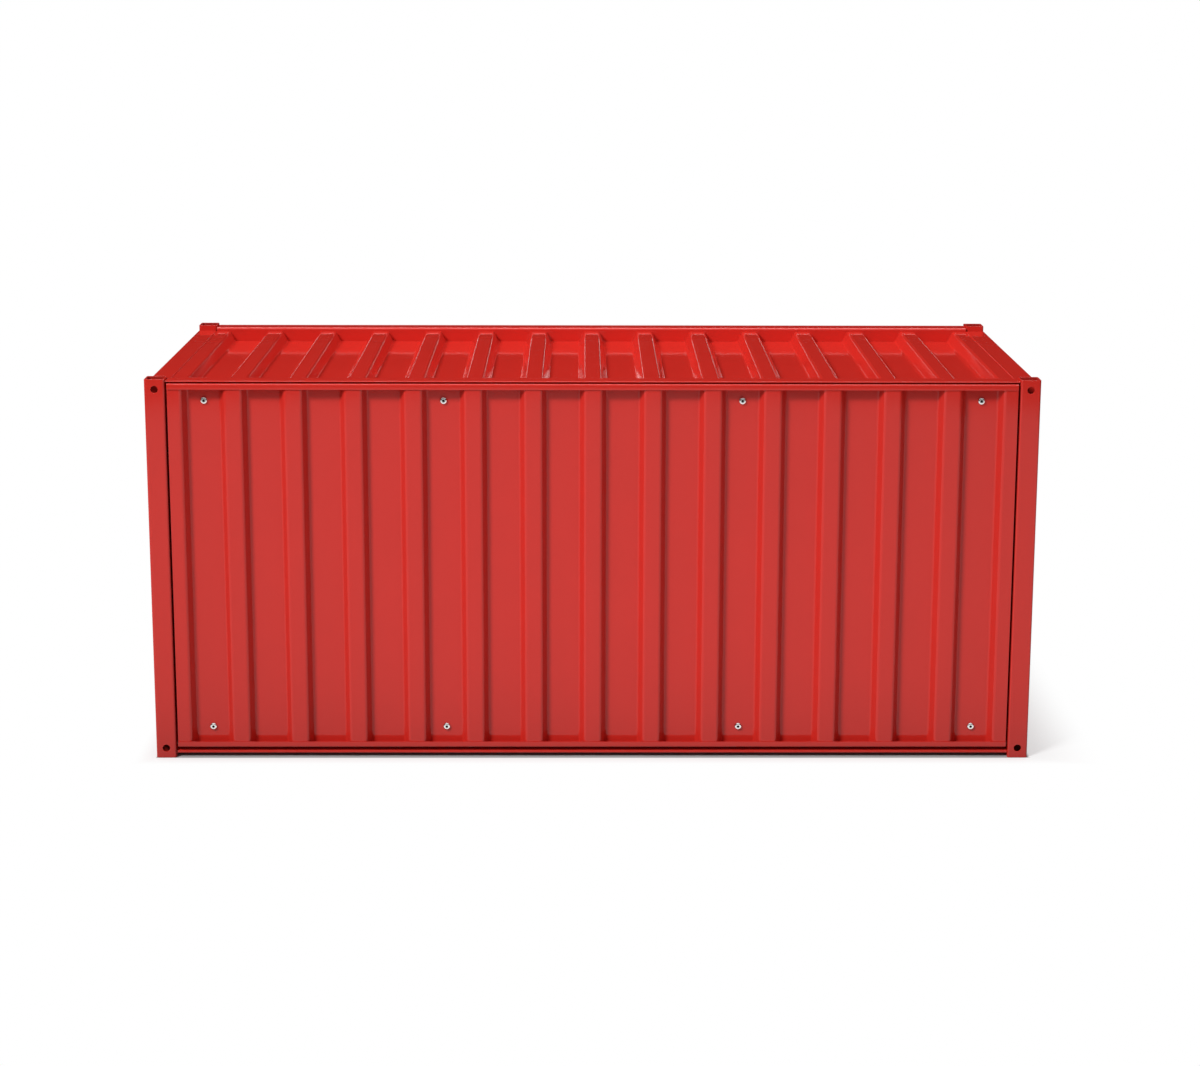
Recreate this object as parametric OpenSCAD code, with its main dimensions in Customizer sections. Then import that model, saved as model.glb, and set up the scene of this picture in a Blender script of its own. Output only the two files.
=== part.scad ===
/* [Overall] */
// Length over the corner posts, along X
length = 1100; // [800:5:1500]
// Width over the corner posts, along Y
width = 450; // [340:5:700]
// Height of the corner posts, floor to top
height = 485; // [360:5:700]

/* [Corner posts] */
// Side of the square tube
post_side = 25; // [22:0.5:32]
// Wall of the square tube
post_wall = 2; // [1.5:0.1:3]
// Outer corner radius of the tube
post_corner_r = 2.5; // [1:0.1:4]
// Diameter of the fixing holes near each end of a post
hole_d = 9; // [5:0.5:12]
// Height of a fixing hole's centre from the end of the post
hole_inset = 12.5; // [9:0.5:30]

/* [Sheet steel] */
// Thickness of the corrugated sheets and their edge channels
sheet_t = 1.2; // [0.8:0.1:1.6]
// Thickness of the folded rails and the floor sheet
rail_t = 1.5; // [1:0.1:2]
// Clearance between pieces that seat on each other
seat = 0.2; // [0.1:0.05:0.5]

/* [Corrugation] */
// Distance from one rib to the next
rib_pitch = 73.7; // [60:0.1:90]
// Width of a rib at its outer plane, before the bends
rib_top_w = 20; // [14:0.5:26]
// Slope of the flanks to the plane of the sheet, in degrees
flank_angle = 62.4; // [50:0.2:75]
// Depth from the rib plane to the valley floor on the four walls
wall_rib_depth = 11.5; // [8:0.1:16]
// Height from the valley floor to the rib tops on the roof
roof_rib_depth = 14; // [9:0.1:17]
// Smallest flat border outside the first and last valley
border_min = 12; // [8:0.5:18]
// Bend radius of the corrugation at mid thickness
rib_bend_r = 4; // [2:0.1:5]

/* [Wall panels] */
// Open joint between a panel and the posts beside it
panel_side_gap = 2.5; // [1:0.1:5]
// Open joint between a panel and the rail lip over it
panel_top_gap = 1.6; // [0.8:0.1:4]
// Open joint between a panel and the bottom rail under it
panel_bottom_gap = 4.9; // [2:0.1:8]
// Height of the edge channel's flange on a panel's top and bottom edge
edge_h = 7.2; // [5:0.1:12]

/* [Rails] */
// Drop from the post tops to the long top rails
long_rail_drop = 2.4; // [1:0.1:6]
// Drop from the post tops to the end top rails and the roof's rib tops
end_rail_drop = 7; // [6:0.1:9]
// Set back of the long rails' lips behind the face of the posts
long_rail_setback = 3.4; // [0:0.1:6]
// Width of the long top rails' top flange
long_flange_w = 26; // [22:0.5:32]
// Width of the end rails' top flange
end_flange_w = 25; // [22:0.5:30]
// Width of the ledges that carry the roof sheet
roof_ledge_w = 14; // [10:0.5:20]
// Height of the rail leg that backs a panel's edge channel
leg_h = 38; // [30:0.5:60]
// Fold radius of the rails at mid thickness
fold_r = 2.2; // [1.5:0.1:3]
// Clear height under the bottom rails
ground_gap = 5.5; // [3:0.1:15]
// Height of the bottom rails' front lip
bottom_lip_h = 3.4; // [3:0.1:8]
// Depth from the post face to the inner edge of the long bottom rails' flange
bottom_flange_end = 33; // [28:0.5:45]

/* [Hidden] */

paint = [0.76, 0.17, 0.16];
bend_steps = 4;
round_fn = 48;
cut = 1;

half_l = length / 2;
half_w = width / 2;

// Widths of the openings between the posts
long_bay = length - 2 * post_side;
end_bay = width - 2 * post_side;
long_panel_w = long_bay - 2 * panel_side_gap;
end_panel_w = end_bay - 2 * panel_side_gap;

// Depths measured inwards from the outer face of the posts
channel_depth = wall_rib_depth + 3 * sheet_t + 2 * seat;
leg_u = channel_depth + seat;
rail_inner_u = long_rail_setback + long_flange_w;

// Levels
long_rail_z = height - long_rail_drop;
end_rail_z = height - end_rail_drop;
roof_valley_z = end_rail_z - roof_rib_depth;
roof_ledge_z = roof_valley_z - sheet_t - seat;
long_panel_top = long_rail_z - rail_t - panel_top_gap;
end_panel_top = end_rail_z - rail_t - panel_top_gap;
bottom_flange_z = ground_gap + bottom_lip_h;
panel_bottom = bottom_flange_z + panel_bottom_gap;

// Roof sheet, between the inner walls of the long rails and the end rails' seams
roof_l = length - 2 * (end_flange_w + sheet_t + seat);
roof_w = width - 2 * (rail_inner_u + seat);

// Width of a valley at the rib plane
valley_open = rib_pitch - rib_top_w;

// Number of valleys that fit on a sheet of width w
function valley_count(w) =
    floor((w - 2 * border_min - valley_open) / rib_pitch) + 1;

// Middle of valley i of n
function valley_x(i, n) = (i - (n - 1) / 2) * rib_pitch;

// Sharp corners of the corrugation's middle line, rib plane at depth d, valley floor at 0
function corrugation(w, d) =
    let (
        n = valley_count(w),
        valley_floor = valley_open - 2 * d / tan(flank_angle)
    )
    concat(
        [[-w / 2, d]],
        [for (i = [0 : n - 1]) each [
            [valley_x(i, n) - valley_open / 2, d],
            [valley_x(i, n) - valley_floor / 2, 0],
            [valley_x(i, n) + valley_floor / 2, 0],
            [valley_x(i, n) + valley_open / 2, d]
        ]],
        [[w / 2, d]]
    );

// Heading of the line from p to q, in degrees
function heading(p, q) = atan2(q[1] - p[1], q[0] - p[0]);

// Turn from heading a to heading b, between -180 and 180
function turn(a, b) = ((b - a + 540) % 360) - 180;

// Arc of radius r that rounds corner q between p and s, as [x, y, heading]
function bend(p, q, s, r) =
    let (
        a = heading(p, q),
        t = turn(a, heading(q, s)),
        side = sign(t),
        reach = r * tan(abs(t) / 2),
        cx = q[0] - reach * cos(a) - side * r * sin(a),
        cy = q[1] - reach * sin(a) + side * r * cos(a)
    )
    [for (k = [0 : bend_steps])
        let (h = a + t * k / bend_steps)
        [cx + side * r * sin(h), cy - side * r * cos(h), h]];

// Middle line of a folded sheet: straight runs joined by bends of radius r
function folded(points, r) =
    let (last = len(points) - 1)
    concat(
        [[points[0][0], points[0][1], heading(points[0], points[1])]],
        [for (i = [1 : last - 1]) each bend(points[i - 1], points[i], points[i + 1], r)],
        [[points[last][0], points[last][1], heading(points[last - 1], points[last])]]
    );

// Point at distance d to the left of a middle-line point
function beside(p, d) = [p[0] - d * sin(p[2]), p[1] + d * cos(p[2])];

// Section of a folded sheet of thickness t
module sheet_section(points, t, r) {
    line = folded(points, r);
    last = len(line) - 1;
    polygon(concat(
        [for (i = [0 : last]) beside(line[i], -t / 2)],
        [for (i = [0 : last]) beside(line[last - i], t / 2)]
    ));
}

// A square with rounded corners, centred
module rounded_square(side, r) {
    square([side, side - 2 * r], center = true);
    square([side - 2 * r, side], center = true);
    for (x = [-1, 1], y = [-1, 1])
        translate([x * (side / 2 - r), y * (side / 2 - r)])
            circle(r = r, $fn = round_fn);
}

// Open square tube with a hole near each end of its two outer faces, at -X and -Y
module post_tube() {
    difference() {
        linear_extrude(height) difference() {
            rounded_square(post_side, post_corner_r);
            square(post_side - 2 * post_wall, center = true);
        }
        for (z = [hole_inset, height - hole_inset]) translate([0, 0, z]) {
            rotate([90, 0, 0])
                cylinder(d = hole_d, h = post_side / 2 + cut, $fn = round_fn);
            rotate([0, -90, 0])
                cylinder(d = hole_d, h = post_side / 2 + cut, $fn = round_fn);
        }
    }
}

// Post at the corner given by the signs of X and Y
module corner_post(sx, sy) {
    color(paint)
        translate([sx * (half_l - post_side / 2), sy * (half_w - post_side / 2), 0])
            mirror([sx > 0 ? 1 : 0, 0, 0])
                mirror([0, sy > 0 ? 1 : 0, 0])
                    post_tube();
}

// Extrudes a section drawn as [depth inwards from the post face, height] along a wall.
// side: 0 front, 1 right end, 2 rear, 3 left end; run: length of the piece
module along_wall(side, run) {
    reach = side % 2 == 0 ? half_w : half_l;
    rotate([0, 0, 90 * side])
        translate([-run / 2, -reach, 0])
            rotate([90, 0, 90])
                linear_extrude(run) children();
}

// Leg of a rail that stands behind the panels' edge channels, from z0 to z1
module rail_leg(z0, z1) {
    translate([leg_u, z0]) square([rail_t, z1 - z0]);
}

module long_top_rail(side) {
    mid_z = long_rail_z - rail_t / 2;
    wall_u = rail_inner_u - rail_t / 2;
    ledge_z = roof_ledge_z - rail_t / 2;
    color(paint) along_wall(side, long_bay - 2 * seat) {
        sheet_section([
            [long_rail_setback, mid_z],
            [wall_u, mid_z],
            [wall_u, ledge_z],
            [rail_inner_u + roof_ledge_w, ledge_z]
        ], rail_t, fold_r);
        rail_leg(long_rail_z - leg_h, mid_z);
    }
}

module end_top_rail(side) {
    mid_z = end_rail_z - rail_t / 2;
    ledge_z = mid_z - sheet_t - seat;
    joggle = sheet_t;
    color(paint) {
        along_wall(side, end_bay - 2 * seat) {
            translate([0, end_rail_z - rail_t]) square([end_flange_w, rail_t]);
            rail_leg(end_rail_z - leg_h, mid_z);
        }
        along_wall(side, roof_w) sheet_section([
            [end_flange_w - 2 * joggle, mid_z],
            [end_flange_w, mid_z],
            [end_flange_w + joggle, ledge_z],
            [end_flange_w + joggle + roof_ledge_w, ledge_z]
        ], rail_t, sheet_t);
    }
}

// Bottom rail: a lip folded down in front of the flange that carries the floor
module bottom_rail(side, setback, flange_end, run) {
    lip_u = setback + rail_t / 2;
    mid_z = bottom_flange_z - rail_t / 2;
    color(paint) along_wall(side, run) {
        sheet_section([
            [lip_u, ground_gap],
            [lip_u, mid_z],
            [flange_end, mid_z]
        ], rail_t, rail_t);
        rail_leg(mid_z, bottom_flange_z + leg_h);
    }
}

module long_bottom_rail(side) {
    bottom_rail(side, long_rail_setback, bottom_flange_end, long_bay - 2 * seat);
}

module end_bottom_rail(side) {
    bottom_rail(side, 0, post_side - seat, end_bay - 2 * seat);
}

// Corrugated sheet standing on a wall, ribs outwards, between its edge channels
module wall_panel(side, w, top) {
    reach = side % 2 == 0 ? half_w : half_l;
    base = panel_bottom + sheet_t + seat;
    floor_u = 1.5 * sheet_t + seat + wall_rib_depth;
    color(paint)
        rotate([0, 0, 90 * side])
            translate([0, floor_u - reach, base])
                mirror([0, 1, 0])
                    linear_extrude(top - sheet_t - seat - base)
                        sheet_section(corrugation(w, wall_rib_depth), sheet_t, rib_bend_r);
}

// Folded channel that caps a panel's edge at height z; up is 1 on a top edge, -1 on a bottom edge
module edge_channel(side, w, z, up) {
    web_z = z - up * sheet_t / 2;
    lip_z = z - up * edge_h;
    color(paint) along_wall(side, w) sheet_section([
        [sheet_t / 2, lip_z],
        [sheet_t / 2, web_z],
        [channel_depth - sheet_t / 2, web_z],
        [channel_depth - sheet_t / 2, lip_z]
    ], sheet_t, sheet_t);
}

module roof_sheet() {
    color(paint)
        translate([0, roof_w / 2, roof_valley_z - sheet_t / 2])
            rotate([90, 0, 0])
                linear_extrude(roof_w)
                    sheet_section(corrugation(roof_l, roof_rib_depth), sheet_t, rib_bend_r);
}

// Flat floor on the bottom rails' flanges, notched round the posts
module floor_sheet() {
    inset = leg_u + rail_t + seat;
    notch = post_side + seat;
    color(paint)
        translate([0, 0, bottom_flange_z])
            linear_extrude(rail_t) difference() {
                square([length - 2 * inset, width - 2 * inset], center = true);
                for (x = [-1, 1], y = [-1, 1])
                    translate([x * half_l, y * half_w])
                        square(2 * notch, center = true);
            }
}

corner_post(-1, -1);  // corner_post_front_left
corner_post(1, -1);  // corner_post_front_right
corner_post(-1, 1);  // corner_post_rear_left
corner_post(1, 1);  // corner_post_rear_right
long_top_rail(0);  // top_rail_front
long_top_rail(2);  // top_rail_rear
end_top_rail(1);  // top_rail_right
end_top_rail(3);  // top_rail_left
long_bottom_rail(0);  // bottom_rail_front
long_bottom_rail(2);  // bottom_rail_rear
end_bottom_rail(1);  // bottom_rail_right
end_bottom_rail(3);  // bottom_rail_left
roof_sheet();
floor_sheet();
wall_panel(0, long_panel_w, long_panel_top);  // front_panel
edge_channel(0, long_panel_w, long_panel_top, 1);  // front_panel_top_edge
edge_channel(0, long_panel_w, panel_bottom, -1);  // front_panel_bottom_edge
wall_panel(2, long_panel_w, long_panel_top);  // rear_panel
edge_channel(2, long_panel_w, long_panel_top, 1);  // rear_panel_top_edge
edge_channel(2, long_panel_w, panel_bottom, -1);  // rear_panel_bottom_edge
wall_panel(3, end_panel_w, end_panel_top);  // left_end_panel
edge_channel(3, end_panel_w, end_panel_top, 1);  // left_end_panel_top_edge
edge_channel(3, end_panel_w, panel_bottom, -1);  // left_end_panel_bottom_edge
wall_panel(1, end_panel_w, end_panel_top);  // right_end_panel
edge_channel(1, end_panel_w, end_panel_top, 1);  // right_end_panel_top_edge
edge_channel(1, end_panel_w, panel_bottom, -1);  // right_end_panel_bottom_edge
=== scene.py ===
"""Dresses a red sheet-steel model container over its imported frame, in a plain white studio."""
import logging
import math
from dataclasses import dataclass
from enum import Enum
from typing import Any, Callable, Sequence, Union

import bmesh
import bpy
from mathutils import Matrix, Vector


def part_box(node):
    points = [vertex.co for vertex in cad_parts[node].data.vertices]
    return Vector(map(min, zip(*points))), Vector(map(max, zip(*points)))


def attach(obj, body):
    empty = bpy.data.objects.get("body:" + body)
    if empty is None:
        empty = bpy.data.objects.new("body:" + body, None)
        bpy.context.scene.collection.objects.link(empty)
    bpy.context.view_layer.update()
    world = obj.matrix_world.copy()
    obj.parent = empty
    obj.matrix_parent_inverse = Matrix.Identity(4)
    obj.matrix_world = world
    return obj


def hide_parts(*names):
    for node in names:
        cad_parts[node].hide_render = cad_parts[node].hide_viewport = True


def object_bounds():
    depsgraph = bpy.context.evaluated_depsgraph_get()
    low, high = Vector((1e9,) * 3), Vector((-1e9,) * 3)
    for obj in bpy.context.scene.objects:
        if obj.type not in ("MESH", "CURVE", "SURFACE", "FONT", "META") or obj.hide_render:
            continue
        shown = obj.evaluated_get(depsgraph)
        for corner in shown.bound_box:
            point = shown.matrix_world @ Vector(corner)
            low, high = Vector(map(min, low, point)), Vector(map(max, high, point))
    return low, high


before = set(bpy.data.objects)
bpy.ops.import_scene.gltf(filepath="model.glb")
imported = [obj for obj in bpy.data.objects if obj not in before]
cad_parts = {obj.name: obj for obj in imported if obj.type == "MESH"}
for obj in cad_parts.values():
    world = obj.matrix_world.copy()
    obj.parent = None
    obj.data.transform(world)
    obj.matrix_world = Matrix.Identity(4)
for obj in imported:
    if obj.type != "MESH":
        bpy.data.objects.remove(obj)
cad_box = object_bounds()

LOG = logging.getLogger("model_container")
BODY = "root"
PAINT_SLOT = "red_powder_coat"
STEEL_SLOT = "bright_steel"
MM = 0.001

Colour = tuple[float, float, float]
Span = tuple[Vector, Vector]


def linear(red: int, green: int, blue: int) -> Colour:
    """Converts a screen colour to scene-linear values.

    Args:
        red: Red from 0 to 255.
        green: Green from 0 to 255.
        blue: Blue from 0 to 255.

    Returns:
        The three linear values.
    """
    shares = (value / 255 for value in (red, green, blue))
    return tuple(s / 12.92 if s <= 0.04045 else ((s + 0.055) / 1.055) ** 2.4 for s in shares)


class Side(Enum):
    """The four walls, counted in quarter turns from the front."""

    FRONT = 0
    RIGHT = 1
    REAR = 2
    LEFT = 3

    @property
    def angle(self) -> float:
        """Turn about the upright axis that brings a front piece to this wall."""
        return self.value * math.pi / 2


class Axis(Enum):
    """Direction of a sheet's straight run, with the turn that lays the X axis along it."""

    X = (0.0, 0.0, 0.0)
    Y = (0.0, 0.0, math.pi / 2)
    Z = (0.0, -math.pi / 2, 0.0)

    @property
    def matrix(self) -> Matrix:
        """Rotation that lays the X axis along this axis."""
        x, y, z = self.value
        return (Matrix.Rotation(z, 3, "Z") @ Matrix.Rotation(y, 3, "Y") @ Matrix.Rotation(x, 3, "X"))


class Pick(Enum):
    """Kind of mesh element that a selection takes."""

    VERT = "VERT"
    EDGE = "EDGE"
    FACE = "FACE"


def wall_box(node: str, side: Side) -> Span:
    """Finds a node's box as if its wall were turned to the front.

    Args:
        node: Name of the node.
        side: Wall that the node stands on.

    Returns:
        The lowest and the highest corner.
    """
    back = Matrix.Rotation(-side.angle, 3, "Z")
    corners = [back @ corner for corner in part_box(node)]
    return Vector(map(min, *corners)), Vector(map(max, *corners))


class Workpiece:
    """A mesh object on the bench, shaped by edit-mode operators and applied modifiers."""

    SMOOTH_ANGLE = math.radians(50)
    CUT_ANGLE = math.radians(40)

    def __init__(self, obj: bpy.types.Object, name: str) -> None:
        """Takes an object and names it and its mesh."""
        self.obj = obj
        obj.name = name
        obj.data.name = name

    @classmethod
    def edge(cls, name: str, middle: Vector, along: Axis, run: float) -> "Workpiece":
        """Starts a sheet as one straight edge, cut from a square plane.

        Args:
            name: Name of the piece.
            middle: Middle of the edge.
            along: Direction of the edge.
            run: Length of the edge.

        Returns:
            The piece, in edit mode, with its edge selected.
        """
        bpy.ops.object.select_all(action="DESELECT")
        place = middle + along.matrix @ Vector((0, run / 2, 0))
        bpy.ops.mesh.primitive_plane_add(size=run, location=place, rotation=along.value)
        bpy.ops.object.transform_apply(location=True, rotation=True, scale=True)
        piece = cls(bpy.context.object, name)
        bpy.ops.object.mode_set(mode="EDIT")
        piece.pick(Pick.VERT, lambda vert: (vert.co - middle).length > 0.75 * run)
        bpy.ops.mesh.delete(type="VERT")
        bpy.ops.mesh.select_mode(type="EDGE")
        bpy.ops.mesh.select_all(action="SELECT")
        return piece

    @classmethod
    def folded(
        cls, name: str, line: Sequence[Vector], along: Axis, run: float, thickness: float, radius: float
    ) -> "Workpiece":
        """Folds a sheet whose bends all turn by the same angle.

        Args:
            name: Name of the piece.
            line: Corners of the sheet's middle line, at the middle of the run.
            along: Direction of the straight run.
            run: Length of the run.
            thickness: Thickness of the sheet.
            radius: Bend radius at mid thickness.

        Returns:
            The folded sheet, in object mode.
        """
        piece = cls.edge(name, line[0], along, run)
        for here, there in zip(line, line[1:]):
            bpy.ops.mesh.extrude_region_move(TRANSFORM_OT_translate={"value": tuple(there - here)})
        turns = [side.angle(then) for side, then in zip(
            [b - a for a, b in zip(line, line[1:])], [b - a for a, b in zip(line[1:], line[2:])]
        )]
        if turns:
            piece.pick(Pick.EDGE, lambda fold: len(fold.link_faces) == 2)
            piece.round_selected(radius * math.tan(turns[0] / 2), 6)
        bpy.ops.object.mode_set(mode="OBJECT")
        piece.modify("SOLIDIFY", thickness=thickness, offset=0.0, use_even_offset=True)
        return piece

    @classmethod
    def box(cls, name: str, low: Vector, high: Vector) -> "Workpiece":
        """Adds a block between two corners.

        Args:
            name: Name of the piece.
            low: Lowest corner.
            high: Highest corner.

        Returns:
            The block, in object mode.
        """
        bpy.ops.object.select_all(action="DESELECT")
        bpy.ops.mesh.primitive_cube_add(size=1, location=(low + high) / 2, scale=high - low)
        bpy.ops.object.transform_apply(location=True, rotation=True, scale=True)
        return cls(bpy.context.object, name)

    @classmethod
    def rod(cls, name: str, start: Vector, end: Vector, radius: float, sides: int) -> "Workpiece":
        """Adds a round or many-sided rod between two points.

        Args:
            name: Name of the piece.
            start: Middle of one end.
            end: Middle of the other end.
            radius: Radius over the corners.
            sides: Number of sides.

        Returns:
            The rod, in object mode.
        """
        span = end - start
        bpy.ops.object.select_all(action="DESELECT")
        bpy.ops.mesh.primitive_cylinder_add(
            vertices=sides,
            radius=radius,
            depth=span.length,
            location=(start + end) / 2,
            rotation=span.to_track_quat("Z", "Y").to_euler(),
        )
        bpy.ops.object.transform_apply(location=True, rotation=True, scale=True)
        return cls(bpy.context.object, name)

    def pick(self, kind: Pick, test: Callable[[Any], bool]) -> None:
        """Selects the elements of one kind that pass a test, in edit mode.

        Args:
            kind: Kind of element.
            test: Tells whether an element is wanted.
        """
        bpy.ops.mesh.select_mode(type=kind.value)
        bpy.ops.mesh.select_all(action="DESELECT")
        shape = bmesh.from_edit_mesh(self.obj.data)
        elements = {Pick.VERT: shape.verts, Pick.EDGE: shape.edges, Pick.FACE: shape.faces}[kind]
        for element in elements:
            if test(element):
                element.select_set(True)
        shape.select_flush_mode()
        bmesh.update_edit_mesh(self.obj.data)

    def round_selected(self, reach: float, segments: int) -> None:
        """Rounds the selected edges, in edit mode.

        Args:
            reach: Distance from an edge to where its rounding starts.
            segments: Number of facets across the rounding.
        """
        bpy.ops.mesh.bevel(
            offset_type="OFFSET",
            offset=reach,
            segments=segments,
            profile=0.5,
            affect="EDGES",
            clamp_overlap=False,
        )

    def take(self) -> None:
        """Makes this the only selected object, and the active one."""
        bpy.ops.object.select_all(action="DESELECT")
        self.obj.select_set(True)
        bpy.context.view_layer.objects.active = self.obj

    def modify(self, kind: str, **settings: Any) -> None:
        """Adds a modifier and applies it.

        Args:
            kind: Type of the modifier.
            settings: Its settings by name.
        """
        self.take()
        modifier = self.obj.modifiers.new(kind, kind)
        for name, value in settings.items():
            setattr(modifier, name, value)
        bpy.ops.object.modifier_apply(modifier=modifier.name)

    def combine(self, operation: str, *others: "Workpiece") -> None:
        """Cuts other pieces from this one, or fuses them to it, and uses them up.

        Args:
            operation: DIFFERENCE or UNION.
            others: The pieces to cut away or fuse on.
        """
        for other in others:
            self.modify("BOOLEAN", operation=operation, solver="EXACT", object=other.obj)
            bpy.data.meshes.remove(other.obj.data)

    def ease(self, width: float, segments: int = 2) -> None:
        """Breaks the cut edges and shades the piece smooth between its flat faces.

        Args:
            width: Width of the broken edge.
            segments: Number of facets across it.
        """
        self.modify(
            "BEVEL",
            width=width,
            segments=segments,
            limit_method="ANGLE",
            angle_limit=self.CUT_ANGLE,
            use_clamp_overlap=False,
        )
        self.take()
        bpy.ops.object.shade_smooth_by_angle(angle=self.SMOOTH_ANGLE)
        self.modify("WEIGHTED_NORMAL", keep_sharp=True)

    def copy(self, name: str, shift: Vector, angle: float = 0.0) -> "Workpiece":
        """Copies the piece with a mesh of its own, turned about the upright axis, then shifted.

        Args:
            name: Name of the copy.
            shift: Move after the turn.
            angle: Turn about the upright axis through the origin.

        Returns:
            The copy, at the origin with its place in its mesh.
        """
        self.take()
        bpy.ops.object.duplicate(linked=False)
        twin = Workpiece(bpy.context.object, name)
        twin.obj.rotation_euler = (0, 0, angle)
        twin.obj.location = shift
        bpy.ops.object.transform_apply(location=True, rotation=True, scale=True)
        return twin

    def join(self, others: Sequence["Workpiece"]) -> None:
        """Joins other pieces into this one.

        Args:
            others: The pieces to join.
        """
        self.take()
        for other in others:
            other.obj.select_set(True)
        bpy.ops.object.join()

    def finish(self, main: bpy.types.Material) -> None:
        """Gives the whole piece one finish."""
        self.obj.data.materials.append(main)

    def recess(self, shade_lining: bpy.types.Material, test: Callable[[Vector], bool]) -> None:
        """Gives some faces of a finished piece a second material, which paints the shade of a recess.

        Args:
            shade_lining: Material of those faces.
            test: Tells from its middle whether a face is one of them.
        """
        self.obj.data.materials.append(shade_lining)
        for face in self.obj.data.polygons:
            if test(face.center):
                face.material_index = len(self.obj.data.materials) - 1

    def dress(self, slot: str, *nodes: str) -> None:
        """Sets the finished piece on the frame.

        Args:
            slot: Material slot that its main finish belongs to; not used.
            nodes: Nodes that the piece stands for.
        """
        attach(self.obj, BODY)
        if nodes:
            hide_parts(*nodes)
        LOG.info("%s: %d faces", self.obj.name, len(self.obj.data.polygons))


class Value:
    """A number socket of a node tree that takes part in Python arithmetic."""

    def __init__(self, tree: "Nodes", socket: bpy.types.NodeSocket) -> None:
        """Keeps the node tree and the output socket."""
        self.tree = tree
        self.socket = socket

    def _math(self, operation: str, first: Any, second: Any) -> "Value":
        """Adds one Math node.

        Args:
            operation: Operation of the node.
            first: Number or value on the first socket.
            second: Number or value on the second socket.

        Returns:
            The result.
        """
        return Value(self.tree, self.tree.add(
            "ShaderNodeMath", {"operation": operation}, {0: first, 1: second}
        ).outputs[0])

    def __add__(self, other: Any) -> "Value":
        """Adds a number or value."""
        return self._math("ADD", self, other)

    def __radd__(self, other: Any) -> "Value":
        """Adds to a number."""
        return self._math("ADD", other, self)

    def __sub__(self, other: Any) -> "Value":
        """Subtracts a number or value."""
        return self._math("SUBTRACT", self, other)

    def __rsub__(self, other: Any) -> "Value":
        """Subtracts from a number."""
        return self._math("SUBTRACT", other, self)

    def __mul__(self, other: Any) -> "Value":
        """Multiplies by a number or value."""
        return self._math("MULTIPLY", self, other)

    def __rmul__(self, other: Any) -> "Value":
        """Multiplies a number."""
        return self._math("MULTIPLY", other, self)

    def most(self, other: Any) -> "Value":
        """The larger of this and a number or value."""
        return self._math("MAXIMUM", self, other)


Input = Union[float, Colour, tuple, Value, bpy.types.NodeSocket]


class Nodes:
    """A node tree under construction."""

    def __init__(self, tree: bpy.types.NodeTree) -> None:
        """Takes a tree and empties it."""
        self.tree = tree
        tree.nodes.clear()

    def add(
        self, kind: str, settings: dict[str, Any], sockets: dict[Union[str, int], Input]
    ) -> bpy.types.Node:
        """Adds one node.

        Args:
            kind: Type of the node.
            settings: Its settings by name, set before its sockets.
            sockets: Numbers, colours or links by the input's name or number.

        Returns:
            The node.
        """
        node = self.tree.nodes.new(kind)
        for name, setting in settings.items():
            setattr(node, name, setting)
        for key, value in sockets.items():
            socket = node.inputs[key]
            if isinstance(value, Value):
                value = value.socket
            if isinstance(value, bpy.types.NodeSocket):
                self.tree.links.new(value, socket)
            elif socket.type == "RGBA":
                socket.default_value = (*value, 1.0)
            else:
                socket.default_value = value
        return node

    def noise(self, place: bpy.types.NodeSocket, size: float, detail: float) -> Value:
        """Adds soft noise.

        Args:
            place: Coordinates in metres.
            size: Size of one patch in metres.
            detail: Octaves of finer noise.

        Returns:
            The noise, from 0 to 1.
        """
        node = self.add("ShaderNodeTexNoise", {}, {"Vector": place, "Scale": 1 / size, "Detail": detail})
        return Value(self, node.outputs[0])

    def mix(self, share: Value, first: Input, second: Input) -> bpy.types.NodeSocket:
        """Mixes two colours.

        Args:
            share: Share of the second colour.
            first: Colour at share 0.
            second: Colour at share 1.

        Returns:
            The mixed colour.
        """
        node = self.add("ShaderNodeMix", {"data_type": "RGBA"}, {0: share, 6: first, 7: second})
        return node.outputs[2]

    def ramp(self, value: Value, end: float, height: float) -> Value:
        """Adds a smooth rise from 0.

        Args:
            value: Value that is followed, starting at 0.
            end: Value at which the rise ends.
            height: Height at its end.

        Returns:
            The rise, from 0 to its height.
        """
        node = self.add("ShaderNodeMapRange", {"interpolation_type": "SMOOTHSTEP"}, {
            "Value": value, "From Min": 0.0, "From Max": end, "To Min": 0.0, "To Max": height
        })
        return Value(self, node.outputs[0])

    def seen(self) -> Value:
        """Adds a mask that is 1 for what the camera, gloss and glass see, and 0 for the light."""
        path = self.add("ShaderNodeLightPath", {}, {})
        rays = ("Is Camera Ray", "Is Glossy Ray", "Is Transmission Ray")
        camera, gloss, glass = (Value(self, path.outputs[ray]) for ray in rays)
        return camera.most(gloss).most(glass)


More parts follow.
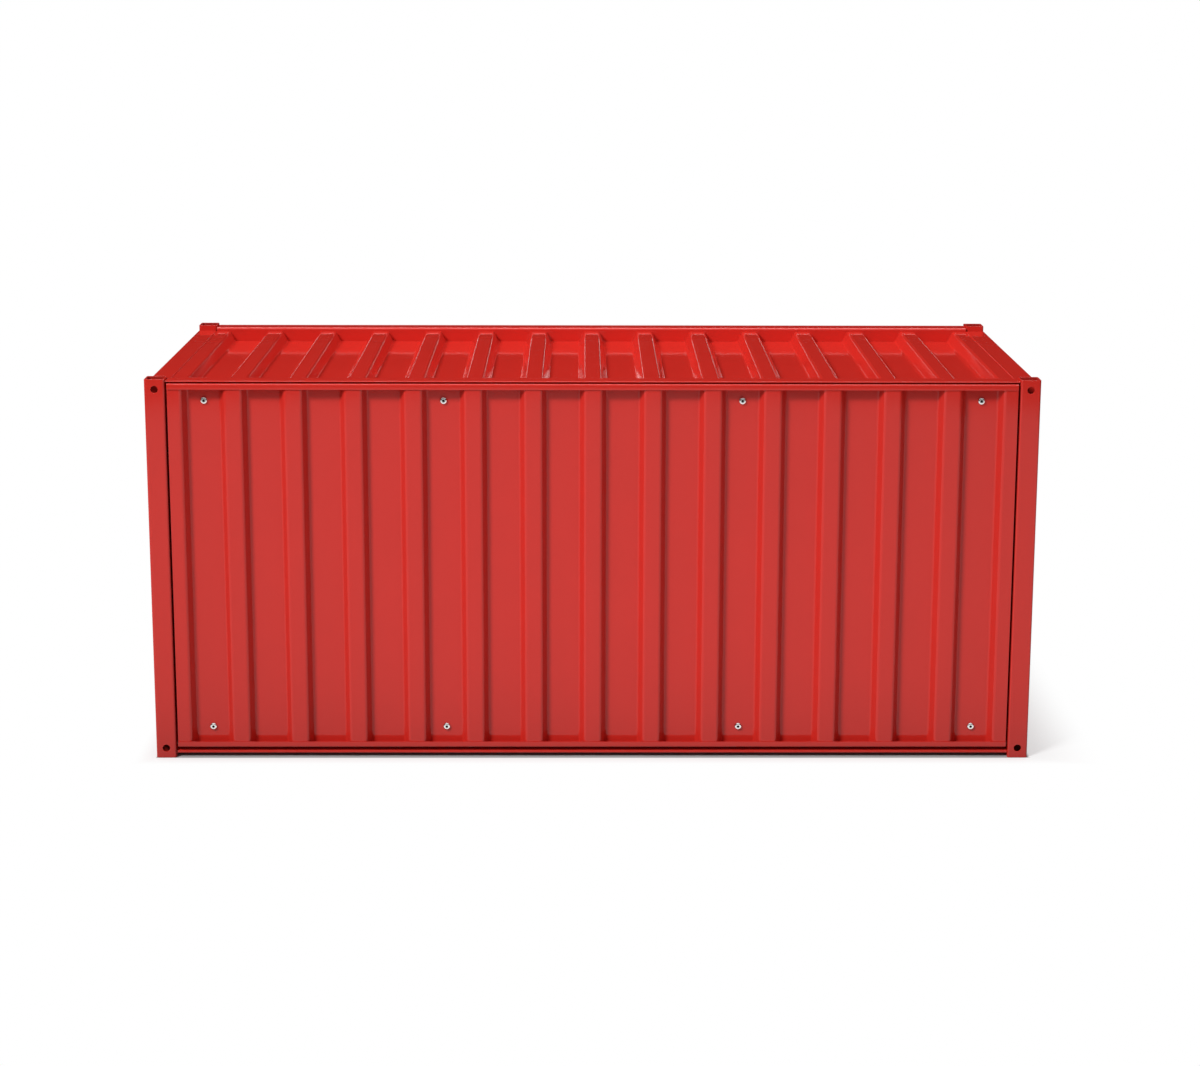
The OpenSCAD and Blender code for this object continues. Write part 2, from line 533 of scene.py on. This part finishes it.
@dataclass(frozen=True)
class PowderCoat:
    """Glossy red powder coat: orange peel, a faintly uneven sheet and slightly uneven gloss."""

    colour: Colour = linear(206, 46, 38)
    thin_colour: Colour = linear(200, 44, 36)
    roughness: float = 0.08
    uneven_gloss: float = 0.03
    patch: float = 0.06
    peel: float = 0.0019
    peel_height_mm: float = 0.0022
    fine_peel: float = 0.0007
    fine_height_mm: float = 0.0005
    wave: float = 0.13
    wave_height_mm: float = 0.12

    def build(self) -> bpy.types.Material:
        """Makes the material."""
        material = bpy.data.materials.new("red_powder_coat")
        material.use_nodes = True
        nodes = Nodes(material.node_tree)
        place = nodes.add("ShaderNodeTexCoord", {}, {}).outputs["Object"]
        film = nodes.noise(place, self.patch, 3)
        relief_mm = (
            nodes.noise(place, self.peel, 1) * self.peel_height_mm
            + nodes.noise(place, self.fine_peel, 1) * self.fine_height_mm
            + nodes.noise(place, self.wave, 0) * self.wave_height_mm
        )
        bump = nodes.add("ShaderNodeBump", {}, {"Strength": 1.0, "Distance": MM, "Height": relief_mm})
        gloss = self.roughness + (film - 0.5) * self.uneven_gloss
        paint = nodes.add("ShaderNodeBsdfPrincipled", {}, {
            "Base Color": nodes.mix(film, self.thin_colour, self.colour),
            "Roughness": gloss,
            "IOR": 1.37,
            "Normal": bump.outputs[0],
        })
        nodes.add("ShaderNodeOutputMaterial", {}, {"Surface": paint.outputs[0]})
        return material


@dataclass(frozen=True)
class BrightSteel:
    """Bright plated steel of the screws, with fine turning marks and a slightly uneven tone."""

    colour: Colour = linear(246, 245, 243)
    dull_colour: Colour = linear(228, 227, 225)
    roughness: float = 0.2
    uneven_gloss: float = 0.14
    patch: float = 0.0016
    grain: float = 0.0003
    grain_height_mm: float = 0.004

    def build(self) -> bpy.types.Material:
        """Makes the material."""
        material = bpy.data.materials.new("bright_steel")
        material.use_nodes = True
        nodes = Nodes(material.node_tree)
        place = nodes.add("ShaderNodeTexCoord", {}, {}).outputs["Object"]
        tone = nodes.noise(place, self.patch, 2)
        relief_mm = nodes.noise(place, self.grain, 1) * self.grain_height_mm
        bump = nodes.add("ShaderNodeBump", {}, {"Strength": 1.0, "Distance": MM, "Height": relief_mm})
        steel = nodes.add("ShaderNodeBsdfPrincipled", {}, {
            "Base Color": nodes.mix(tone, self.dull_colour, self.colour),
            "Metallic": 1.0,
            "Roughness": self.roughness + (tone - 0.5) * self.uneven_gloss,
            "Normal": bump.outputs[0],
        })
        nodes.add("ShaderNodeOutputMaterial", {}, {"Surface": steel.outputs[0]})
        return material


@dataclass(frozen=True)
class PaintedShadeLining:
    """Darker, duller lining for the faces inside a tube or a socket: painted shade of the recess, with a
    tone that varies at random.
    """

    name: str
    colour: Colour
    patch_shade_colour: Colour
    metal: float
    roughness: float = 0.62
    uneven_gloss: float = 0.2
    patch: float = 0.004
    grain: float = 0.0006
    grain_height_mm: float = 0.02

    def build(self) -> bpy.types.Material:
        """Makes the material."""
        material = bpy.data.materials.new(self.name)
        material.use_nodes = True
        nodes = Nodes(material.node_tree)
        place = nodes.add("ShaderNodeTexCoord", {}, {}).outputs["Object"]
        tone = nodes.noise(place, self.patch, 3)
        relief_mm = nodes.noise(place, self.grain, 1) * self.grain_height_mm
        bump = nodes.add("ShaderNodeBump", {}, {"Strength": 1.0, "Distance": MM, "Height": relief_mm})
        recess = nodes.add("ShaderNodeBsdfPrincipled", {}, {
            "Base Color": nodes.mix(tone, self.colour, self.patch_shade_colour),
            "Metallic": self.metal,
            "Roughness": self.roughness + (tone - 0.5) * self.uneven_gloss,
            "Normal": bump.outputs[0],
        })
        nodes.add("ShaderNodeOutputMaterial", {}, {"Surface": recess.outputs[0]})
        return material


@dataclass(frozen=True)
class Stock:
    """Sheet and joint sizes that the folded pieces share, in metres."""

    sheet: float = 1.2 * MM
    rail: float = 1.5 * MM
    seat: float = 0.2 * MM
    rail_bend: float = 2.2 * MM
    rib_bend: float = 4.0 * MM
    broken_edge: float = 0.22 * MM
    rail_edge: float = 0.68 * MM


@dataclass(frozen=True)
class Corrugation:
    """Trapezoid ribs and valleys of the walls and the roof, in metres and degrees."""

    pitch: float = 73.7 * MM
    rib_top: float = 20.0 * MM
    flank_angle: float = 62.4
    border: float = 12.0 * MM

    @property
    def opening(self) -> float:
        """Width of a valley at the rib plane."""
        return self.pitch - self.rib_top

    def valleys(self, width: float) -> list[float]:
        """Finds the middles of the valleys that fit on a sheet.

        Args:
            width: Width of the sheet.

        Returns:
            The middles, measured from the middle of the sheet.
        """
        count = math.floor((width - 2 * self.border - self.opening) / self.pitch + 1e-6) + 1
        return [(i - (count - 1) / 2) * self.pitch for i in range(count)]

    def line(self, width: float, rib: float, valley: float) -> list[tuple[float, float]]:
        """Draws the middle line across a sheet.

        Args:
            width: Width of the sheet.
            rib: Level of the ribs.
            valley: Level of the valley floors.

        Returns:
            The corners as pairs of place across the sheet and level.
        """
        half_open = self.opening / 2
        half_floor = half_open - abs(rib - valley) / math.tan(math.radians(self.flank_angle))
        corners = [(-width / 2, rib)]
        for middle in self.valleys(width):
            corners += [
                (middle - half_open, rib),
                (middle - half_floor, valley),
                (middle + half_floor, valley),
                (middle + half_open, rib),
            ]
        return corners + [(width / 2, rib)]


@dataclass
class CornerPosts:
    """Four open square tubes with a fixing hole near each end of their two outer faces."""

    paint: bpy.types.Material
    shade_lining: bpy.types.Material
    wall: float = 2.0 * MM
    corner_radius: float = 2.5 * MM
    hole_radius: float = 4.5 * MM
    hole_inset: float = 12.5 * MM
    broken_edge: float = 0.35 * MM

    NAMES = ("front_left", "front_right", "rear_right", "rear_left")

    def build(self) -> None:
        """Models the front left post and turns copies of it into the other corners."""
        low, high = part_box("corner_post_front_left")
        middle = Vector(((low.x + high.x) / 2, (low.y + high.y) / 2, 0))
        tube = self.tube(low - middle, high - middle)
        for turns, name in enumerate(self.NAMES):
            node = f"corner_post_{name}"
            corner_low, corner_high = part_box(node)
            shift = (corner_low + corner_high) / 2
            shift.z = 0
            post = tube.copy(f"{node}_tube", shift, Side(turns).angle)
            post.dress(PAINT_SLOT, node)
        bpy.data.meshes.remove(tube.obj.data)

    def tube(self, low: Vector, high: Vector) -> Workpiece:
        """Models one post about the upright axis, with its outer faces to -X and -Y.

        Args:
            low: Lowest corner of the post.
            high: Highest corner of the post.

        Returns:
            The finished tube.
        """
        tube = Workpiece.box("post_pattern", low, high)
        bpy.ops.object.mode_set(mode="EDIT")
        tube.pick(Pick.FACE, lambda face: abs(face.normal.z) > 0.9)
        bpy.ops.mesh.delete(type="FACE")
        tube.pick(Pick.EDGE, lambda edge: len(edge.link_faces) == 2)
        tube.round_selected(self.corner_radius, 8)
        bpy.ops.object.mode_set(mode="OBJECT")
        tube.modify("SOLIDIFY", thickness=self.wall, offset=-1.0, use_even_offset=True)
        for z in (low.z + self.hole_inset, high.z - self.hole_inset):
            centre = Vector((0, 0, z))
            for outer in (Vector((2 * low.x, 0, z)), Vector((0, 2 * low.y, z))):
                drill = Workpiece.rod("drill", centre, outer, self.hole_radius, 48)
                tube.combine("DIFFERENCE", drill)
        tube.ease(self.broken_edge)
        tube.finish(self.paint)
        # The faces inside the tube take a darker, duller red than the paint outside: red paint darkened
        # as painted shade.
        inner_reach = high.x - 0.9 * self.wall
        tube.recess(self.shade_lining, lambda middle: max(abs(middle.x), abs(middle.y)) < inner_reach)
        return tube


@dataclass
class TopRails:
    """Folded rails round the roof: two long ones that stand proud, and two flat end ones."""

    paint: bpy.types.Material
    stock: Stock
    end_flange: float = 25.0 * MM
    leg_gap: float = 0.2 * MM

    def build(self) -> None:
        """Models one rail of each kind and turns copies of them round the roof."""
        for first, second, model in (
            (Side.FRONT, Side.REAR, self.long_rail),
            (Side.RIGHT, Side.LEFT, self.end_rail),
        ):
            rail = model(first)
            rail.ease(self.stock.rail_edge, 4)
            rail.finish(self.paint)
            for side in (first, second):
                node = f"top_rail_{side.name.lower()}"
                twin = rail.copy(f"{node}_fold", Vector(), side.angle)
                twin.dress(PAINT_SLOT, node)
            bpy.data.meshes.remove(rail.obj.data)

    def leg(self, node: str, edge_node: str, side: Side) -> Workpiece:
        """Models the leg that backs a panel's edge channel, up to mid thickness of the flange.

        Args:
            node: Node of the rail.
            edge_node: Node of the edge channel in front of the leg.
            side: Wall of both.

        Returns:
            The leg.
        """
        low, high = wall_box(node, side)
        depth = wall_box(edge_node, side)[1].y + self.leg_gap + self.stock.rail / 2
        line = [Vector((0, depth, low.z)), Vector((0, depth, high.z - self.stock.rail / 2))]
        return Workpiece.folded("leg", line, Axis.X, high.x - low.x, self.stock.rail, 0)

    def long_rail(self, side: Side) -> Workpiece:
        """Models a long rail: top flange, inner wall and the ledge that carries the roof.

        Args:
            side: Wall of the rail.

        Returns:
            The rail, turned to the front.
        """
        low, high = wall_box("top_rail_front", side)
        roof_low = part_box("roof_sheet")[0]
        half = self.stock.rail / 2
        wall = roof_low.y - self.stock.seat - half
        top = high.z - half
        ledge = roof_low.z - self.stock.seat - half
        line = [Vector((0, low.y, top)), Vector((0, wall, top))]
        line += [Vector((0, wall, ledge)), Vector((0, high.y, ledge))]
        run = high.x - low.x
        rail = Workpiece.folded("long_rail", line, Axis.X, run, self.stock.rail, self.stock.rail_bend)
        rail.combine("UNION", self.leg("top_rail_front", "front_panel_top_edge", side))
        return rail

    def end_rail(self, side: Side) -> Workpiece:
        """Models an end rail: a flat flange with a joggled ledge under the end of the roof.

        Args:
            side: Wall of the rail.

        Returns:
            The rail, turned to the front.
        """
        low, high = wall_box("top_rail_right", side)
        roof_low, roof_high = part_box("roof_sheet")
        top = high.z - self.stock.rail / 2
        seam = low.y + self.end_flange
        joggle = self.stock.sheet
        ledge = top - self.stock.sheet - self.stock.seat
        flange = [Vector((0, low.y, top)), Vector((0, seam, top))]
        step = [Vector((0, seam - 2 * joggle, top)), Vector((0, seam, top))]
        step += [Vector((0, seam + joggle, ledge)), Vector((0, high.y, ledge))]
        rail = Workpiece.folded("end_rail", flange, Axis.X, high.x - low.x, self.stock.rail, 0)
        rail.combine(
            "UNION",
            Workpiece.folded("ledge", step, Axis.X, roof_high.y - roof_low.y, self.stock.rail, joggle),
            self.leg("top_rail_right", "right_end_panel_top_edge", side),
        )
        return rail


@dataclass
class BottomRails:
    """Folded rails round the floor, each with a front lip, a flange and a standing leg."""

    paint: bpy.types.Material
    stock: Stock
    lip: float = 3.4 * MM
    leg_gap: float = 0.2 * MM

    def build(self) -> None:
        """Models one rail of each kind and turns copies of them round the floor."""
        for first, second, edge_node in (
            (Side.FRONT, Side.REAR, "front_panel_bottom_edge"),
            (Side.RIGHT, Side.LEFT, "right_end_panel_bottom_edge"),
        ):
            rail = self.rail(f"bottom_rail_{first.name.lower()}", edge_node, first)
            for side in (first, second):
                node = f"bottom_rail_{side.name.lower()}"
                twin = rail.copy(f"{node}_fold", Vector(), side.angle)
                twin.dress(PAINT_SLOT, node)
            bpy.data.meshes.remove(rail.obj.data)

    def rail(self, node: str, edge_node: str, side: Side) -> Workpiece:
        """Models one rail.

        Args:
            node: Node of the rail.
            edge_node: Node of the edge channel in front of its leg.
            side: Wall of both.

        Returns:
            The rail, turned to the front.
        """
        low, high = wall_box(node, side)
        run = high.x - low.x
        half = self.stock.rail / 2
        flange = low.z + self.lip - half
        depth = wall_box(edge_node, side)[1].y + self.leg_gap + half
        line = [Vector((0, low.y + half, low.z)), Vector((0, low.y + half, flange))]
        line += [Vector((0, high.y, flange))]
        rail = Workpiece.folded("bottom_rail", line, Axis.X, run, self.stock.rail, self.stock.rail)
        leg_line = [Vector((0, depth, flange)), Vector((0, depth, high.z))]
        rail.combine("UNION", Workpiece.folded("leg", leg_line, Axis.X, run, self.stock.rail, 0))
        rail.ease(self.stock.broken_edge)
        rail.finish(self.paint)
        return rail


@dataclass
class RoofSheet:
    """Corrugated roof with its ribs across the container."""

    paint: bpy.types.Material
    stock: Stock
    ribs: Corrugation

    def build(self) -> None:
        """Folds the sheet and dresses it."""
        low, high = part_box("roof_sheet")
        half = self.stock.sheet / 2
        middle = (low.y + high.y) / 2
        corners = self.ribs.line(high.x - low.x, high.z - half, low.z + half)
        line = [Vector((across, middle, level)) for across, level in corners]
        run = high.y - low.y
        roof = Workpiece.folded(
            "corrugated_roof", line, Axis.Y, run, self.stock.sheet, self.stock.rib_bend
        )
        roof.ease(self.stock.broken_edge)
        roof.finish(self.paint)
        roof.dress(PAINT_SLOT, "roof_sheet")


@dataclass
class ButtonScrew:
    """Pattern of a button-head screw with a hexagon socket, sizes in metres."""

    steel: bpy.types.Material
    shade_lining: bpy.types.Material
    radius: float = 4.75 * MM
    height: float = 2.75 * MM
    crown: float = 2.2 * MM
    socket_flats: float = 3.2 * MM
    socket_depth: float = 2.1 * MM
    broken_edge: float = 0.12 * MM

    def build(self) -> Workpiece:
        """Models the head at the origin, facing -Y, with its seat on the plane of X and Z."""
        top = Vector((0, -self.height, 0))
        head = Workpiece.rod("screw_pattern", Vector(), top, self.radius, 32)
        bpy.ops.object.mode_set(mode="EDIT")
        head.pick(Pick.EDGE, lambda edge: all(vert.co.y < top.y / 2 for vert in edge.verts))
        head.round_selected(self.crown, 7)
        bpy.ops.object.mode_set(mode="OBJECT")
        corner_radius = self.socket_flats / math.sqrt(3)
        key = Workpiece.rod(
            "key", top + Vector((0, self.socket_depth, 0)), 2 * top, corner_radius, 6
        )
        head.combine("DIFFERENCE", key)
        head.ease(self.broken_edge)
        head.finish(self.steel)
        # The faces inside the hex socket take a near-black lining: painted shade in the socket.
        mouth = top.y + self.broken_edge
        head.recess(self.shade_lining, lambda middle: (
            math.hypot(middle.x, middle.z) < corner_radius and mouth < middle.y < -self.broken_edge
        ))
        return head


@dataclass
class WallPanels:
    """Four corrugated wall panels, each with a folded channel on its top and bottom edge."""

    paint: bpy.types.Material
    stock: Stock
    ribs: Corrugation
    screw: Workpiece
    screw_drop: float = 22.5 * MM
    screw_rise: float = 23.7 * MM

    LONG_SCREW_VALLEYS = (0, 4, 9, 13)
    END_SCREW_VALLEYS = (0, 4)

    def build(self) -> None:
        """Models the front and the right panel and turns copies of them to the other walls."""
        for first, second, suffix, valleys in (
            (Side.FRONT, Side.REAR, "panel", self.LONG_SCREW_VALLEYS),
            (Side.RIGHT, Side.LEFT, "end_panel", self.END_SCREW_VALLEYS),
        ):
            stem = f"{first.name.lower()}_{suffix}"
            patterns = {
                "": self.sheet(stem, first),
                "_top_edge": self.channel(f"{stem}_top_edge", first, 1),
                "_bottom_edge": self.channel(f"{stem}_bottom_edge", first, -1),
            }
            screws = self.screws(stem, first, valleys)
            for side in (first, second):
                name = f"{side.name.lower()}_{suffix}"
                for ending, pattern in patterns.items():
                    twin = pattern.copy(f"{name}{ending}_steel", Vector(), side.angle)
                    twin.dress(PAINT_SLOT, name + ending)
                twin = screws.copy(f"{name}_screws", Vector(), side.angle)
                twin.dress(STEEL_SLOT)
            for pattern in (*patterns.values(), screws):
                bpy.data.meshes.remove(pattern.obj.data)

    def sheet(self, node: str, side: Side) -> Workpiece:
        """Folds a corrugated panel with its ribs outwards.

        Args:
            node: Node of the panel.
            side: Wall of the panel.

        Returns:
            The panel, turned to the front.
        """
        low, high = wall_box(node, side)
        half = self.stock.sheet / 2
        middle = (low.z + high.z) / 2
        corners = self.ribs.line(high.x - low.x, low.y + half, high.y - half)
        line = [Vector((across, depth, middle)) for across, depth in corners]
        run = high.z - low.z
        panel = Workpiece.folded("panel", line, Axis.Z, run, self.stock.sheet, self.stock.rib_bend)
        panel.ease(self.stock.broken_edge)
        panel.finish(self.paint)
        return panel

    def channel(self, node: str, side: Side, up: int) -> Workpiece:
        """Folds the channel that caps a panel's edge.

        Args:
            node: Node of the channel.
            side: Wall of the panel.
            up: 1 on a top edge, -1 on a bottom edge.

        Returns:
            The channel, turned to the front.
        """
        low, high = wall_box(node, side)
        half = self.stock.sheet / 2
        web, lip = (high.z - half, low.z) if up > 0 else (low.z + half, high.z)
        outer, inner = low.y + half, high.y - half
        line = [Vector((0, outer, lip)), Vector((0, outer, web))]
        line += [Vector((0, inner, web)), Vector((0, inner, lip))]
        run = high.x - low.x
        channel = Workpiece.folded("channel", line, Axis.X, run, self.stock.sheet, self.stock.sheet)
        channel.ease(self.stock.broken_edge)
        channel.finish(self.paint)
        return channel

    def screws(self, node: str, side: Side, valleys: Sequence[int]) -> Workpiece:
        """Sets a screw near the top and the bottom of some valleys.

        Args:
            node: Node of the panel.
            side: Wall of the panel.
            valleys: Numbers of the valleys that hold screws, from the left.

        Returns:
            The screws as one piece, turned to the front.
        """
        low, high = wall_box(node, side)
        bottom = wall_box(f"{node}_bottom_edge", side)[0].z
        top = wall_box(f"{node}_top_edge", side)[1].z
        middles = self.ribs.valleys(high.x - low.x)
        seat = high.y - self.stock.sheet
        heads = [
            self.screw.copy("screw", Vector((middles[number], seat, z)))
            for number in valleys
            for z in (bottom + self.screw_rise, top - self.screw_drop)
        ]
        heads[0].join(heads[1:])
        return heads[0]


@dataclass
class FloorSheet:
    """Flat floor of the container, which keeps its solid and takes the paint."""

    paint: bpy.types.Material

    def build(self) -> None:
        """Paints the floor's own solid."""
        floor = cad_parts["floor_sheet"]
        floor.data.materials.clear()
        floor.data.materials.append(self.paint)
        LOG.info("floor_sheet: painted")


class Shine(Enum):
    """What a studio light acts on."""

    ALL = "all"
    BODY = "body colour"
    GLOSS = "gloss"


@dataclass(frozen=True)
class SoftBox:
    """A studio light; metres, watts, degrees of its beam's spread, and what it acts on."""

    name: str
    place: tuple[float, float, float]
    aim: tuple[float, float, float]
    width: float
    height: float
    power: float
    spread: float
    shine: Shine

    def build(self) -> None:
        """Adds the light."""
        lamp = bpy.data.lights.new(self.name, "AREA")
        lamp.shape = "RECTANGLE"
        lamp.size = self.width
        lamp.size_y = self.height
        lamp.energy = self.power
        lamp.spread = math.radians(self.spread)
        holder = bpy.data.objects.new(self.name, lamp)
        bpy.context.scene.collection.objects.link(holder)
        holder.location = self.place
        holder.visible_glossy = self.shine is not Shine.BODY
        holder.visible_diffuse = self.shine is not Shine.GLOSS
        gaze = Vector(self.aim) - Vector(self.place)
        holder.rotation_euler = gaze.to_track_quat("-Z", "Y").to_euler()


@dataclass
class Studio:
    """White studio in metres: floor with painted shade under and near the container, world, soft lights,
    and dark flags that only gloss sees.
    """

    ambient: float = 0.25
    floor_half: float = 60.0
    floor_colour: Colour = (0.88, 0.88, 0.88)
    # Painted shade: the floor's darker colour close to the container for the light it bounces, and how
    # far that reaches.
    painted_shade_close: Colour = (0.26, 0.26, 0.26)
    close_shade_reach: float = 0.85
    floor_seen: Colour = (0.95, 0.95, 0.95)
    # Painted shade: the floor's colour under the container as the camera sees it.
    painted_shade_under: Colour = (0.5, 0.5, 0.5)
    contact: float = 0.005
    contact_fade: float = 0.55
    shadow_reach: float = 0.1
    lit_side: float = 3.5
    flag_radius: float = 2.75
    flag_top: float = 1.7
    strip_low: float = 0.67
    strip_high: float = 0.71
    strip_glow: float = 1.8

    LIGHTS = (
        SoftBox("key_light", (-3.05, -3.4, 4.1), (0.02, -0.2, 0.42), 1.3, 1.3, 12.3, 34.0, Shine.BODY),
        SoftBox("overhead_light", (0.0, 0.3, 3.2), (0.0, 0.0, 0.48), 2.2, 1.4, 48.0, 180.0, Shine.ALL),
        SoftBox("edge_light", (0.0, 2.0, 2.9), (0.0, 0.0, 0.48), 3.2, 0.35, 30.0, 180.0, Shine.GLOSS),
    )

    def build(self) -> None:
        """Sets up the whole studio."""
        self.world()
        self.floor()
        self.flags()
        for light in self.LIGHTS:
            light.build()
        bpy.context.scene.view_settings.view_transform = "Standard"
        LOG.info("studio: floor, flags and %d lights", len(self.LIGHTS))

    def world(self) -> None:
        """Makes a world that is white to look at and dimmer as a light."""
        world = bpy.data.worlds.new("studio_world")
        world.use_nodes = True
        bpy.context.scene.world = world
        nodes = Nodes(world.node_tree)
        strength = nodes.seen() * (1 - self.ambient) + self.ambient
        sky = nodes.add("ShaderNodeBackground", {}, {"Color": (1.0, 1.0, 1.0), "Strength": strength})
        nodes.add("ShaderNodeOutputWorld", {}, {"Surface": sky.outputs[0]})

    def floor(self) -> None:
        """Lays a wide floor that is white to look at and keeps the shadow near the container; its colour
        is darkened under and close to the container as painted shade.
        """
        material = bpy.data.materials.new("studio_floor")
        material.use_nodes = True
        nodes = Nodes(material.node_tree)
        seen = nodes.seen()
        away = self.away(nodes)
        # Seen by the camera, the floor turns mid grey under the container and within millimetres of it:
        # painted shade under the container.
        near = nodes.mix(nodes.ramp(away, self.contact, 1.0), self.painted_shade_under, self.floor_seen)
        # Lighting the scene, the floor turns dark grey within about 0.85 m of the container: painted
        # shade, which dims its bounce onto the lower walls.
        bounce_with_painted_shade = nodes.mix(nodes.ramp(away, self.close_shade_reach, 1.0), self.painted_shade_close, self.floor_colour)
        lit = nodes.add("ShaderNodeBsdfDiffuse", {}, {"Color": nodes.mix(seen, bounce_with_painted_shade, near)})
        white = nodes.add("ShaderNodeEmission", {}, {"Color": (1.0, 1.0, 1.0), "Strength": 1.0})
        clear = (
            nodes.ramp(away, self.contact, self.contact_fade)
            + nodes.ramp(away, self.shadow_reach, 1 - self.contact_fade)
        )
        mixed = nodes.add("ShaderNodeMixShader", {}, {
            0: seen * clear, 1: lit.outputs[0], 2: white.outputs[0]
        })
        nodes.add("ShaderNodeOutputMaterial", {}, {"Surface": mixed.outputs[0]})
        bpy.ops.object.select_all(action="DESELECT")
        bpy.ops.mesh.primitive_plane_add(size=2 * self.floor_half)
        floor = bpy.context.object
        floor.name = "studio_floor"
        floor.data.materials.append(material)

    def away(self, nodes: Nodes) -> Value:
        """Adds the distance of a floor point from the container's footprint, longer on the lit sides.

        Args:
            nodes: Node tree of the floor.

        Returns:
            The distance in metres, below 0 under the container.
        """
        place = nodes.add("ShaderNodeTexCoord", {}, {}).outputs["Object"]
        split = nodes.add("ShaderNodeSeparateXYZ", {}, {0: place})
        x, y = (Value(nodes, split.outputs[axis]) for axis in (0, 1))
        low, high = cad_box
        shaded = (x - high.x).most(y - high.y)
        lit = ((low.x - x) * self.lit_side).most((low.y - y) * self.lit_side)
        return shaded.most(lit)

    def flags(self) -> None:
        """Stands dark flags round the container with a bright strip between them, for its gloss alone."""
        self.ring("studio_flag_low", 0.0, self.strip_low, 0.0)
        self.ring("studio_strip", self.strip_low, self.strip_high, self.strip_glow)
        self.ring("studio_flag_high", self.strip_high, self.flag_top, 0.0)

    def ring(self, name: str, low: float, high: float, glow: float) -> None:
        """Stands one ring round the container that only gloss sees.

        Args:
            name: Name of the ring.
            low: Level of its lower edge.
            high: Level of its upper edge.
            glow: Strength of its light, where 1 is white.
        """
        material = bpy.data.materials.new(name)
        material.use_nodes = True
        nodes = Nodes(material.node_tree)
        light = nodes.add("ShaderNodeEmission", {}, {"Color": (1.0, 1.0, 1.0), "Strength": glow})
        nodes.add("ShaderNodeOutputMaterial", {}, {"Surface": light.outputs[0]})
        bpy.ops.object.select_all(action="DESELECT")
        bpy.ops.mesh.primitive_cylinder_add(
            vertices=96,
            radius=self.flag_radius,
            depth=high - low,
            end_fill_type="NOTHING",
            location=(0, 0, (low + high) / 2),
        )
        ring = bpy.context.object
        ring.name = name
        ring.data.materials.append(material)
        for rays in ("camera", "diffuse", "transmission", "volume_scatter", "shadow"):
            setattr(ring, f"visible_{rays}", False)


@dataclass(frozen=True)
class ViewCamera:
    """Camera at the picture's angle, for a frame of 1200 by 1066; angles in degrees."""

    place: tuple[float, float, float] = (-0.0140, -3.0556, 0.9984)
    yaw: float = 0.453
    pitch: float = 11.084
    roll: float = -0.147
    lens: float = 70.48
    sensor: float = 36.0
    shift_y: float = -0.1

    def build(self) -> None:
        """Adds the camera and makes it the scene's own."""
        data = bpy.data.cameras.new("view_camera")
        data.sensor_fit = "HORIZONTAL"
        data.sensor_width = self.sensor
        data.lens = self.lens
        data.shift_y = self.shift_y
        data.dof.use_dof = False
        camera = bpy.data.objects.new("view_camera", data)
        bpy.context.scene.collection.objects.link(camera)
        camera.matrix_world = self.matrix()
        bpy.context.scene.camera = camera

    def matrix(self) -> Matrix:
        """Works out the camera's place and axes.

        Returns:
            The camera's world matrix.
        """
        yaw, pitch, roll = (math.radians(angle) for angle in (self.yaw, self.pitch, self.roll))
        ahead = Vector((
            math.sin(yaw) * math.cos(pitch), math.cos(yaw) * math.cos(pitch), -math.sin(pitch)
        ))
        level = Vector((math.cos(yaw), -math.sin(yaw), 0))
        down = ahead.cross(level)
        right = math.cos(roll) * level + math.sin(roll) * down
        lower = math.cos(roll) * down - math.sin(roll) * level
        turn = Matrix((right, -lower, -ahead)).transposed().to_4x4()
        return Matrix.Translation(self.place) @ turn


def write_sizes() -> None:
    """Updates the view layer."""
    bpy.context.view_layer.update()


def main() -> None:
    """Builds the container's pieces in order, then the studio and the camera."""
    logging.basicConfig(level=logging.INFO, format="%(message)s")
    paint = PowderCoat().build()
    steel = BrightSteel().build()
    stock = Stock()
    ribs = Corrugation()
    # Inside the posts: the red paint, darker and duller, as painted shade.
    tube_inside = PaintedShadeLining("tube_inside", linear(168, 30, 22), linear(182, 36, 28), 0.0).build()
    # Inside the screw sockets: near-black, half metallic, as painted shade.
    socket_inside = PaintedShadeLining("socket_inside", linear(24, 24, 25), linear(40, 40, 41), 0.5).build()
    screw = ButtonScrew(steel, socket_inside).build()
    CornerPosts(paint, tube_inside).build()
    TopRails(paint, stock).build()
    BottomRails(paint, stock).build()
    RoofSheet(paint, stock, ribs).build()
    FloorSheet(paint).build()
    WallPanels(paint, stock, ribs, screw).build()
    bpy.data.meshes.remove(screw.obj.data)
    Studio().build()
    ViewCamera().build()
    write_sizes()


if __name__ == "__main__":
    main()
